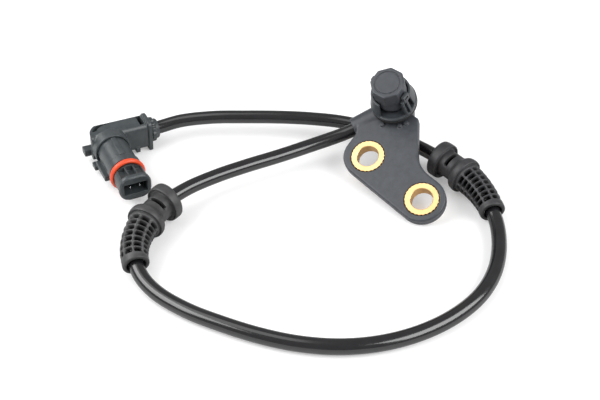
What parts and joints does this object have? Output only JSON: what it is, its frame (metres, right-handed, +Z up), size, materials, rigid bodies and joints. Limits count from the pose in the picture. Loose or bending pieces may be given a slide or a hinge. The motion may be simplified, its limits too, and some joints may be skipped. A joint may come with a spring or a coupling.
{
  "type": "abs wheel speed sensor",
  "caption": "Wheel speed sensor: a bracket with brass-bushed bolt holes and an upright sensing head, a looped cable with caged rubber grommets, and an angled plug with a socket for its pins.",
  "frame": {"origin": "under the middle of the head piece (bracket and head), on the surface that the sensor lies on", "axes": "+X to the right and +Y away from the viewer as the sensor lies, +Z up"},
  "size_m": [0.1602, 0.1197, 0.0406],
  "materials": {
    "housing": "satin",
    "clip": "satin",
    "plug": "satin",
    "jacket": "gloss",
    "rubber": "matte",
    "seal_black": "matte",
    "seal_orange": "satin",
    "insulation": "satin",
    "insert": "matte",
    "chip": "satin",
    "brass": "satin",
    "tin": "satin",
    "magnet": "matte"
  },
  "bodies": {
    "root": {"bracket": "housing", "bush_left": "brass", "bush_right": "brass", "head_finger": "housing", "clip_sleeve": "clip", "head_seal": "seal_black", "sensor_chip": "chip", "bias_magnet": "magnet", "chip_carrier": "insert", "lead_a": "tin", "lead_b": "tin", "head_core_a": "insulation", "head_core_b": "insulation", "plug_body": "plug", "elbow_cover": "plug", "plug_seal": "seal_orange", "pin_insert": "insert", "cable_collar": "plug", "contact_pin_a": "tin", "contact_pin_b": "tin", "plug_core_a": "insulation", "plug_core_b": "insulation", "cable": "jacket", "grommet_near": "rubber", "grommet_far": "rubber"}
  },
  "joints": []
}
